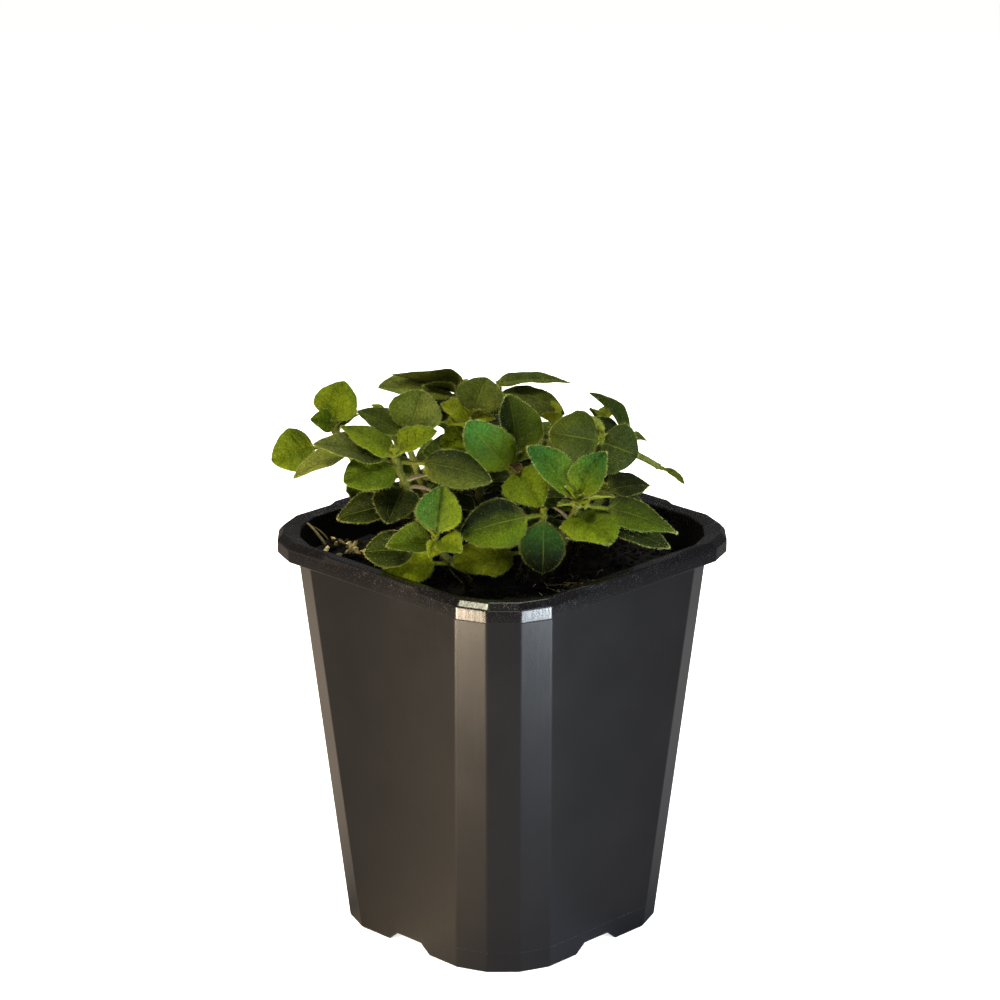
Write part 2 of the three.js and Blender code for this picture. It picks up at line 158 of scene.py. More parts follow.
def place(name, data):
    """An object in the scene for a mesh, a light or a camera."""
    made = bpy.data.objects.new(name, data)
    bpy.context.scene.collection.objects.link(made)
    return made


def mesh_of(name, points, faces):
    """A mesh from points in millimetres."""
    made = bpy.data.meshes.new(name)
    made.from_pydata((points * MM).tolist(), [], faces)
    return made


def piece(name, points, faces, material, slot, smooth=True, replaced=()):
    """A piece in the row frame from points in millimetres, riding on the root body."""
    made = place(name, mesh_of(name, points, faces))
    made.data.polygons.foreach_set("use_smooth", [smooth] * len(made.data.polygons))
    made.data.materials.append(material)
    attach(made, "root")
    if replaced:
        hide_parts(*replaced)
    return made


def feed(tree, node, inputs):
    """Sets a node's inputs by name or number. Each is a plain value, or a socket to link."""
    for key, value in inputs.items():
        if isinstance(value, bpy.types.NodeSocket):
            tree.links.new(value, node.inputs[key])
        else:
            node.inputs[key].default_value = value


def add(tree, kind, inputs=None, **settings):
    """A node of a kind with its settings and its inputs."""
    made = tree.nodes.new("ShaderNode" + kind)
    for key, value in settings.items():
        setattr(made, key, value)
    feed(tree, made, inputs or {})
    return made


def math(tree, operation, *values, clamp=False):
    """A Math node's result."""
    inputs = dict(enumerate(values))
    return add(tree, "Math", inputs, operation=operation, use_clamp=clamp).outputs[0]


def times(tree, first, second):
    """The product of two values."""
    return math(tree, "MULTIPLY", first, second)


def blend(tree, share, first, second, kind="MIX"):
    """A colour mixed from two by a share."""
    made = add(tree, "Mix", data_type="RGBA", blend_type=kind)
    feed(tree, made, {0: share, 6: first, 7: second})
    return made.outputs[2]


def dimmed(tree, colour, factor):
    """A colour times a plain factor."""
    grey = add(tree, "CombineColor", {"Red": factor, "Green": factor, "Blue": factor})
    return blend(tree, 1.0, colour, grey.outputs["Color"], "MULTIPLY")


def remap(tree, value, low, high, to_low=0.0, to_high=1.0):
    """A value that runs from low to high, stretched to run from to_low to to_high, and clamped."""
    return add(tree, "MapRange", {
        "Value": value, "From Min": low, "From Max": high, "To Min": to_low, "To Max": to_high,
    }).outputs["Result"]


def bumped(tree, shader, height, strength, distance):
    """Gives the shader a normal that follows a height."""
    made = add(tree, "Bump", {"Height": height, "Strength": strength, "Distance": distance})
    tree.links.new(made.outputs["Normal"], shader.inputs["Normal"])


def finish_material(name, **plain):
    """A material with its Principled shader, whose plain values are set on its own sockets."""
    made = bpy.data.materials.new(name)
    made.use_nodes = True
    shader = made.node_tree.nodes["Principled BSDF"]
    for key, value in plain.items():
        shader.inputs[key.replace("_", " ")].default_value = value
    return made, made.node_tree, shader


def effect_group(name, inputs, outputs):
    """An empty shader node group with float inputs, given with their defaults, and outputs."""
    tree = bpy.data.node_groups.new(name, "ShaderNodeTree")
    for key, value in inputs.items():
        socket = tree.interface.new_socket(key, in_out="INPUT", socket_type="NodeSocketFloat")
        socket.default_value = value
    for key in outputs:
        tree.interface.new_socket(key, in_out="OUTPUT", socket_type="NodeSocketFloat")
    return tree, tree.nodes.new("NodeGroupInput"), tree.nodes.new("NodeGroupOutput")


def place_group(tree, group, **inputs):
    """The group's node in a material, with its own values."""
    return add(tree, "Group", inputs, node_tree=group)


# Grain: broad patches and a fine surface, both from noise on the piece's own coordinates.
grain, grain_in, grain_out = effect_group(
    "grain", {"Patch": 60.0, "Fine": 1500.0}, ["Patches", "Fine"]
)
grain_at = add(grain, "TexCoord").outputs["Object"]
for scale_name, result, detail in (("Patch", "Patches", 3.0), ("Fine", "Fine", 2.0)):
    noise = add(grain, "TexNoise", {
        "Vector": grain_at, "Scale": grain_in.outputs[scale_name], "Detail": detail,
    })
    feed(grain, grain_out, {result: noise.outputs["Fac"]})

# Specks: small separate spots, more of them where the patches of a broad noise are high.
specks, specks_in, specks_out = effect_group(
    "specks", {"Scale": 900.0, "Cover": 0.5, "Clumps": 90.0}, ["Mask"]
)
specks_at = add(specks, "TexCoord").outputs["Object"]
speck_cells = add(specks, "TexVoronoi", {"Vector": specks_at, "Scale": specks_in.outputs["Scale"]})
speck_clumps = add(specks, "TexNoise", {
    "Vector": specks_at, "Scale": specks_in.outputs["Clumps"], "Detail": 4.0,
})
speck_reach = times(specks, speck_clumps.outputs["Fac"], specks_in.outputs["Cover"])
speck_mask = math(specks, "SUBTRACT", speck_reach, speck_cells.outputs["Distance"])
feed(specks, specks_out, {"Mask": math(specks, "MULTIPLY", speck_mask, 3.5, clamp=True)})

plastic, tree, shader = finish_material("black_plastic", Roughness=0.3, IOR=1.49)
pot_coords = add(tree, "TexCoord").outputs["Object"]
pot_at = add(tree, "SeparateXYZ", {"Vector": pot_coords})
pot_grain = place_group(tree, grain, Patch=45.0, Fine=2600.0)
dust = place_group(tree, specks, Scale=2300.0, Cover=0.62, Clumps=300.0)
# Dust lies on the rim and thins out below it.
rim_share = remap(tree, pot_at.outputs["Z"], 0.1075, 0.112)
dust_mask = times(tree, dust.outputs["Mask"], rim_share)
scuff = times(tree, pot_grain.outputs["Patches"], 0.55)
wall_colour = blend(tree, scuff, PLASTIC_BLACK, PLASTIC_SCUFF)
rough = remap(tree, pot_grain.outputs["Patches"], 0.0, 1.0, 0.26, 0.36)
rough = math(tree, "SUBTRACT", rough, times(tree, rim_share, 0.1))
rough = math(tree, "ADD", rough, times(tree, dust_mask, 0.4), clamp=True)
feed(tree, shader, {
    "Base Color": blend(tree, dust_mask, wall_colour, DUST_PALE), "Roughness": rough,
})
# The mould's parting line runs round the foot as a faint step, and faint draw marks run down.
mould_line = math(tree, "COMPARE", pot_at.outputs["Z"], MOULD_LINE_Z * MM, MOULD_LINE_HALF * MM)
draw_at = add(tree, "Mapping", {"Vector": pot_coords, "Scale": (1, 1, 0.03)}).outputs["Vector"]
draw_marks = add(tree, "TexNoise", {"Vector": draw_at, "Scale": 700.0})
below_rim = math(tree, "SUBTRACT", 1.0, times(tree, rim_share, 0.75))
height = times(tree, times(tree, pot_grain.outputs["Fine"], 0.5), below_rim)
for relief in (
    mould_line, times(tree, draw_marks.outputs["Fac"], 0.6), times(tree, dust_mask, 0.35),
):
    height = math(tree, "ADD", height, relief)
bumped(tree, shader, height, 0.35, 0.00012)

pot_rows = [
    wall_ring(FLOOR_Z, WALL),
    wall_ring(0, WALL),
    wall_ring(0, FOOT_BEVEL),
    wall_ring(FOOT_BEVEL),
    *[wall_ring(z) for z in np.linspace(FLOOR_Z, 105, 9)],
    wall_ring(RIM_ROOF),
    pot_ring(RIM_HALF - WALL, RIM_FACET, RIM_ROOF),
    pot_ring(RIM_HALF - WALL, RIM_FACET, SHOULDER_Z),
    pot_ring(RIM_HALF, RIM_FACET, SHOULDER_Z),
    pot_ring(RIM_HALF, RIM_FACET, BEVEL_Z),
    pot_ring(CREST_HALF, CREST_FACET, RIM_CREST, fill=RIM_HALF - CREST_HALF),
    wall_ring(RIM_INSIDE, WALL),
    *[wall_ring(z, WALL) for z in np.linspace(106, 12, 5)],
    wall_ring(FLOOR_Z + WALL, WALL),
]
sharp_rows = {1, 2, 3, *range(13, 20), 25}  # the foot's, the rim's and the floor's edges
pot_grid = np.array(pot_rows)
# The arch lifts the skirt's lower edge, by less and less up to the floor.
side_count = len(pot_rows[0]) // 4
along_side = np.tile(pot_rows[0][:side_count, 1], 4)
arch = NOTCH_RISE * np.clip((NOTCH_HALF - np.abs(along_side)) / (NOTCH_HALF - NOTCH_TOP), 0, 1)
arch = np.where(np.abs(along_side) < NOTCH_HALF, arch, 0)
pot_grid[:4, :, 2] += arch * (1 - pot_grid[:4, :, 2] / FLOOR_Z)
facet_ends = {k * side_count + j for k in range(1, 5) for j in (-side_count, -3, -2, -1)}
pot_grid = eased(pot_grid.transpose(1, 0, 2), facet_ends, EDGE_ROUND, True).transpose(1, 0, 2)
pot_grid = eased(pot_grid, sharp_rows, EDGE_ROUND, False)
pot = piece("nursery_pot", *joined([pot_grid]), plastic, "pot_plastic", replaced=["pot"])
# The drain holes are drilled through the floor, in the middle and towards the corners.
drill_turn = circle(DRILL_SIDES)
drill_ring = DRAIN_RADIUS * np.stack([np.cos(drill_turn), np.sin(drill_turn)], axis=1)
drain_holes = [(0, 0)] + [(x * DRAIN_REACH, y * DRAIN_REACH) for x in (-1, 1) for y in (-1, 1)]
drill_ends = FLOOR_Z - DRILL_PAST, FLOOR_Z + WALL + DRILL_PAST
drill_grids = [
    np.array([[(x + hole_x, y + hole_y, z) for x, y in drill_ring] for z in drill_ends])
    for hole_x, hole_y in drain_holes
]
drill = place("drill", mesh_of("drill", *joined(drill_grids)))
drilled = pot.modifiers.new("drain_holes", "BOOLEAN")
drilled.operation, drilled.object = "DIFFERENCE", drill
whole = pot.evaluated_get(bpy.context.evaluated_depsgraph_get())
pot.data = bpy.data.meshes.new_from_object(whole)
pot.modifiers.clear()
bpy.data.objects.remove(drill)

# ------------------------ potting mix
# A plug of dark moist peat that fills the pot to 10 mm under the rim. Crumbs, bits of bark,
# cream husks and fibres lie loose on its surface, thickest along the wall.

MIX_SURFACE, MIX_LUMP, MIX_GAP = 103.0, 0.7, 0.3
BANK_X, BANK_Y, BANK_REACH, BANK_HEIGHT = -31.0, 37.0, 6.0, 4.5
CRUMBS, BARK_BITS, HUSKS, FIBRES, FIBRE_CLUMP = 2600, 160, 36, 150, 40
HUSK_HEAP, HUSK_SPREAD = (-28, 33, 0), (3, 3, 0.3)
CLUMP_AT, CLUMP_SPREAD, CLUMP_PALER = (2, -25, 0), (5, 3, 0), 6
MIX_ROWS, CLOD_HEIGHT = 60, 0.35
PEAT_DARK = (0.0022, 0.0017, 0.0013)
PEAT_BROWN = (0.013, 0.008, 0.0045)
HUSK_CREAM = (0.5, 0.41, 0.19)
FIBRE_TAN = (0.07, 0.058, 0.03)

draws = np.random.default_rng(11)


def mix_relief(x, y):
    """Height of the mix above its mean: broad hollows crossed by smaller lumps, and the bank that
    it was watered into at one corner."""
    broad = np.sin(0.13 * x + 1.2) * np.cos(0.11 * y - 0.4)
    fine = np.sin(0.71 * x + 0.53 * y) * np.sin(0.47 * x - 0.83 * y + 2)
    bank = np.exp(-((x - BANK_X) ** 2 + (y - BANK_Y) ** 2) / (2 * BANK_REACH ** 2))
    return MIX_LUMP * (broad + 0.7 * fine) + BANK_HEIGHT * bank


def toned(made, colours):
    """Gives a mesh one colour for each point, in the attribute that its material reads."""
    layer = made.data.color_attributes.new("tone", "FLOAT_COLOR", "POINT")
    rgba = np.concatenate([colours, np.ones((len(colours), 1))], axis=1)
    layer.data.foreach_set("color", rgba.ravel().astype(np.float32))


def turned(count, seed):
    """Rotation matrices drawn evenly, from unit quaternions."""
    w, x, y, z = unit(np.random.default_rng(seed).normal(size=(count, 4))).T
    return np.stack([
        1 - 2 * (y * y + z * z), 2 * (x * y - w * z), 2 * (x * z + w * y),
        2 * (x * y + w * z), 1 - 2 * (x * x + z * z), 2 * (y * z - w * x),
        2 * (x * z - w * y), 2 * (y * z + w * x), 1 - 2 * (x * x + y * y),
    ], axis=1).reshape(-1, 3, 3)


GOLDEN = (1 + 5 ** 0.5) / 2
LUMP_POINTS = np.array([(-1, GOLDEN, 0), (1, GOLDEN, 0), (-1, -GOLDEN, 0), (1, -GOLDEN, 0)])
LUMP_POINTS = np.concatenate([np.roll(LUMP_POINTS, k, axis=1) for k in range(3)])
LUMP_POINTS = LUMP_POINTS / np.hypot(1, GOLDEN)
LUMP_FACES = np.array([
    (0, 11, 5), (0, 5, 1), (0, 1, 7), (0, 7, 10), (0, 10, 11), (1, 5, 9), (5, 11, 4),
    (11, 10, 2), (10, 7, 6), (7, 1, 8), (3, 9, 4), (3, 4, 2), (3, 2, 6), (3, 6, 8),
    (3, 8, 9), (4, 9, 5), (2, 4, 11), (6, 2, 10), (8, 6, 7), (9, 8, 1),
])


def lumps(name, places, sizes, colours, material, seed):
    """Twenty-sided lumps, each stretched to its three sizes, dented at random and turned."""
    count, corners = len(places), len(LUMP_POINTS)
    rng = np.random.default_rng(seed)
    body = LUMP_POINTS * rng.uniform(0.72, 1.15, (count, corners, 1)) * sizes[:, None, :]
    body = np.einsum("nij,npj->npi", turned(count, seed + 1), body) + places[:, None, :]
    faces = (LUMP_FACES + corners * np.arange(count)[:, None, None]).reshape(-1, 3)
    made = piece(name, body.reshape(-1, 3), faces.tolist(), material, "potting_mix", smooth=False)
    toned(made, np.repeat(colours, corners, axis=0))


def on_mix(count, edge):
    """Places on the mix's surface. edge above 0 crowds them towards the wall."""
    limit = wall_half(MIX_SURFACE) - WALL - 1.4
    spread = draws.uniform(-1, 1, (count * 3, 2))
    far = np.abs(spread).max(axis=1, keepdims=True) + 1e-9
    spread = spread / far * far ** (1 / (1 + 2 * edge)) * limit
    kept = np.abs(spread).sum(axis=1) < 1.62 * limit
    x, y = spread[kept][:count].T
    return np.stack([x, y, MIX_SURFACE + mix_relief(x, y)], axis=1)


peat, tree, shader = finish_material("peat", Roughness=0.85, Specular_IOR_Level=0.25)
peat_tone = add(tree, "Attribute", attribute_name="tone").outputs["Color"]
peat_grain = place_group(tree, grain, Patch=300.0, Fine=3000.0)
peat_shade = remap(tree, peat_grain.outputs["Patches"], 0.3, 0.7, 0.45, 1.5)
feed(tree, shader, {"Base Color": dimmed(tree, peat_tone, peat_shade)})
bumped(tree, shader, peat_grain.outputs["Fine"], 0.8, 0.0003)

mix_edge = wall_ring(MIX_SURFACE, WALL + MIX_GAP)
mix_low = wall_ring(FLOOR_Z + WALL + MIX_GAP, WALL + MIX_GAP)
shares = np.linspace(1, 0.02, MIX_ROWS)
mix_top = mix_edge[None] * np.stack([shares, shares, np.ones(MIX_ROWS)], axis=1)[:, None, :]
top_x, top_y = mix_top[..., 0], mix_top[..., 1]
# Clods cover the surface: crossed waves that bend each other.
clods = np.sin(1.9 * top_x + 1.1 * np.sin(1.3 * top_y)) * np.sin(2.1 * top_y + np.sin(1.7 * top_x))
mix_top[..., 2] = MIX_SURFACE + mix_relief(top_x, top_y) + CLOD_HEIGHT * clods
mix_rows = np.concatenate([mix_low[None], mix_top])
mix = piece("mix_plug", *joined([mix_rows]), peat, "potting_mix", replaced=["potting_mix"])
toned(mix, np.tile(PEAT_DARK, (len(mix.data.vertices), 1)))


def bit_sizes(places, *ranges):
    """Three sizes for each place, drawn from three ranges."""
    return np.stack([draws.uniform(*reach, len(places)) for reach in ranges], axis=1)


crumb_at = on_mix(CRUMBS, 0.3)
crumb_mix = draws.uniform(0, 1, (len(crumb_at), 1)) ** 5
lumps("mix_crumbs", crumb_at, draws.uniform(0.3, 1.0, (len(crumb_at), 3)),
      np.array(PEAT_DARK) * (1 - crumb_mix) + np.array(PEAT_BROWN) * crumb_mix, peat, 21)
bark_at = on_mix(BARK_BITS, 0.6)
lumps("mix_bark", bark_at + (0, 0, 0.5), bit_sizes(bark_at, (1.0, 2.6), (0.6, 1.2), (0.25, 0.6)),
      np.array(PEAT_BROWN) * draws.uniform(0.8, 2.6, (len(bark_at), 1)), peat, 31)
# Half the husks lie about, and the larger, paler half lie in a heap on the bank.
husk_at = np.concatenate([
    on_mix(HUSKS // 2, 0.8),
    draws.normal(HUSK_HEAP, HUSK_SPREAD, (HUSKS - HUSKS // 2, 3)),
])
husk_at[:, 2] = MIX_SURFACE + 0.3 + mix_relief(husk_at[:, 0], husk_at[:, 1])
heaped = 1 + 0.5 * (np.arange(len(husk_at)) >= HUSKS // 2)[:, None]
lumps("mix_husks", husk_at + (0, 0, 0.4),
      bit_sizes(husk_at, (0.7, 1.5), (0.4, 0.7), (0.25, 0.5)) * heaped,
      np.array(HUSK_CREAM) * draws.uniform(0.35, 1.15, (len(husk_at), 1)) * heaped, peat, 41)


def rings_round(line, across, over, radius, angle):
    """Rings of points round a line: at an angle a, radius (across cos(a) + over sin(a))."""
    turn = np.cos(angle)[:, None], np.sin(angle)[:, None]
    return line[..., None, :] + radius[..., None] * (
        across[..., None, :] * turn[0] + over[..., None, :] * turn[1]
    )


def strands(name, starts, ends, sags, radii, colours, material, steps=6, sides=4):
    """Thin round strands, each an arc from start to end that sags sideways in its middle."""
    t = np.linspace(0, 1, steps)[:, None]
    line = starts[:, None] * (1 - t) + ends[:, None] * t + sags[:, None] * (4 * t * (1 - t))
    along = np.gradient(line, axis=1)
    across = unit(np.cross(along, (0.31, 0.2, 0.93)))
    thick = (radii[:, None] * np.linspace(1, 0.55, steps))[:, :, None]
    rings = rings_round(line, across, unit(np.cross(along, across)), thick, circle(sides))
    made = piece(name, *joined(rings), material, "potting_mix")
    toned(made, np.repeat(colours, len(made.data.vertices) // len(rings), axis=0))


fibre_at = on_mix(FIBRES, 0.9)
clump = draws.normal(CLUMP_AT, CLUMP_SPREAD, (FIBRE_CLUMP, 3))
clump[:, 2] = MIX_SURFACE + mix_relief(clump[:, 0], clump[:, 1])
fibre_at = np.concatenate([fibre_at, clump])
fibre_run = draws.normal(0, 2.6, fibre_at.shape) * (1, 1, 0.12)
fibre_end = fibre_at + fibre_run
limit = wall_half(MIX_SURFACE) - WALL - 0.8
fibre_end[:, :2] = np.clip(fibre_end[:, :2], -limit, limit)
in_clump = np.where(np.arange(len(fibre_at)) < FIBRES, 1, CLUMP_PALER)[:, None]
strands("mix_fibres", fibre_at + (0, 0, 0.5), fibre_end + (0, 0, 0.6),
        draws.normal(0, 0.7, fibre_at.shape) * (1, 1, 0.5),
        draws.uniform(0.06, 0.16, len(fibre_at)),
        np.array(FIBRE_TAN) * draws.uniform(0.3, 1.5, (len(fibre_at), 1)) * in_clump, peat)
# Dry stalks that lie from the bank up to the rim.
stalk_foot = np.array([(-31.5, 37.2, 107.6), (-27.5, 40.0, 106.8), (-35, 30, 105.6)])
stalk_end = np.array([(-32.6, 43.6, 112.9), (-30.5, 43.9, 111.4), (-40.5, 32.5, 108.8)])
stalk_sag = np.array([(0, 0.5, 0.8), (0.4, 0, 0.5), (0, 0.6, 0.4)])
strands("mix_stalks", stalk_foot, stalk_end, stalk_sag, np.array([0.5, 0.3, 0.35]),
        np.array([HUSK_CREAM]) * [[0.36], [0.25], [0.2]], peat)

# ------------------------ leafy stems
# Soft square stems that lean out of the mix and turn up. They carry opposite pairs of ovate
# leaves on short stalks: thin hairy blades, quilted between their veins, with a pale midrib.
# Each stem grew as one piece with its leaves.

STEM_BURIED, STEM_COLLAR, STEM_FOOT, STEM_TIP = 10.0, 2.2, 1.15, 0.75
STALK_HALF, STALK_THICK, BLADE_THICK = 0.55, 0.45, 0.16
VEINS = 4.5  # pairs of side veins
BLADE_ROWS, BLADE_ROUND, STEM_ROWS, STEM_ROUND = 30, 24, 30, 12
SCALLOP, NOTCHING = 0.014, 0.018  # the margin's even waves, and those that differ by side
QUILT, GROOVE, PUFF, RIPPLE = 0.62, 0.3, 0.14, 0.065
HAIRS_PER_MM, HAIRS_ON_EDGE, HAIR_RADIUS, HAIR_LONG = 34, 0.6, 0.021, (0.28, 0.6)
LEAF_PALE = (0.19, 0.23, 0.025, 1)
DOWN_DULL, DOWN_PALE = (0.26, 0.3, 0.06, 1), (0.55, 0.58, 0.22, 1)
PLANT_TURN = np.radians(-45)

# The leaves' tones. Most are lit and shaded copies of the leaves' green, painted light and shade:
# lime, bright and fresh for lit leaves, down to shade, dark and deep for leaves in the shadow of
# others, while blue and teal paint a cool sheen. Young, dry and rust are the leaves' own colours.
TONES_AND_PAINTED_SHADE = {
    "fresh": (0.052, 0.082, 0.0015),
    "bright": (0.094, 0.126, 0.002),
    "mid": (0.034, 0.051, 0.0015),
    "shade": (0.018, 0.028, 0.001),
    "dark": (0.008, 0.013, 0.001),
    "deep": (0.003, 0.006, 0.001),
    "dusk": (0.018, 0.029, 0.005),
    "blue": (0.017, 0.068, 0.01),
    "teal": (0.012, 0.04, 0.006),
    "grey": (0.046, 0.059, 0.007),
    "silver": (0.085, 0.1, 0.018),
    "olive": (0.046, 0.058, 0.002),
    "pale": (0.15, 0.17, 0.02),
    "young": (0.12, 0.14, 0.003),
    "lime": (0.19, 0.225, 0.004),
    "dry": (0.3, 0.23, 0.16),
    "rust": (0.05, 0.022, 0.014),
}
STEM_GREEN = (0.1, 0.112, 0.021)
# The lower stem's colour: its own dark red-brown, darkened further as painted shade under the leaves.
STEM_RED_SHADED = (0.009, 0.005, 0.003)


@dataclass
class Leaf:
    """A leaf's row. Share is where it stands along the stem, and the angles are in degrees. Its
    tone turns into the other one towards the tip by run and towards the left margin by over, or
    away from them where these are negative. This paints light and shade: one end or half of the
    leaf lit and the other shaded."""
    tone: str
    share: float
    heading: float
    rise: float
    length: float
    width: float
    roll: float = 0
    stalk: float = 0.15  # its share of the length
    bend: float = 25  # how far the blade droops, in degrees
    cup: float = 0.12  # how far the margins rise in a curve, and by fold in a straight line
    fold: float = 0.1
    point: float = 0.15  # how far the tip narrows
    broad: float = 0.84  # below 1 the blade is widest towards its foot
    other: str = ""
    run: float = 0
    over: float = 0


def lower_pair(share, heading, length=15):
    """The two like leaves of a pair inside the plant, in the shade tone: painted shade, as they lie
    under the others.
    """
    return [Leaf("shade", share, heading + turn, 4, length, 0.78 * length) for turn in (0, 180)]


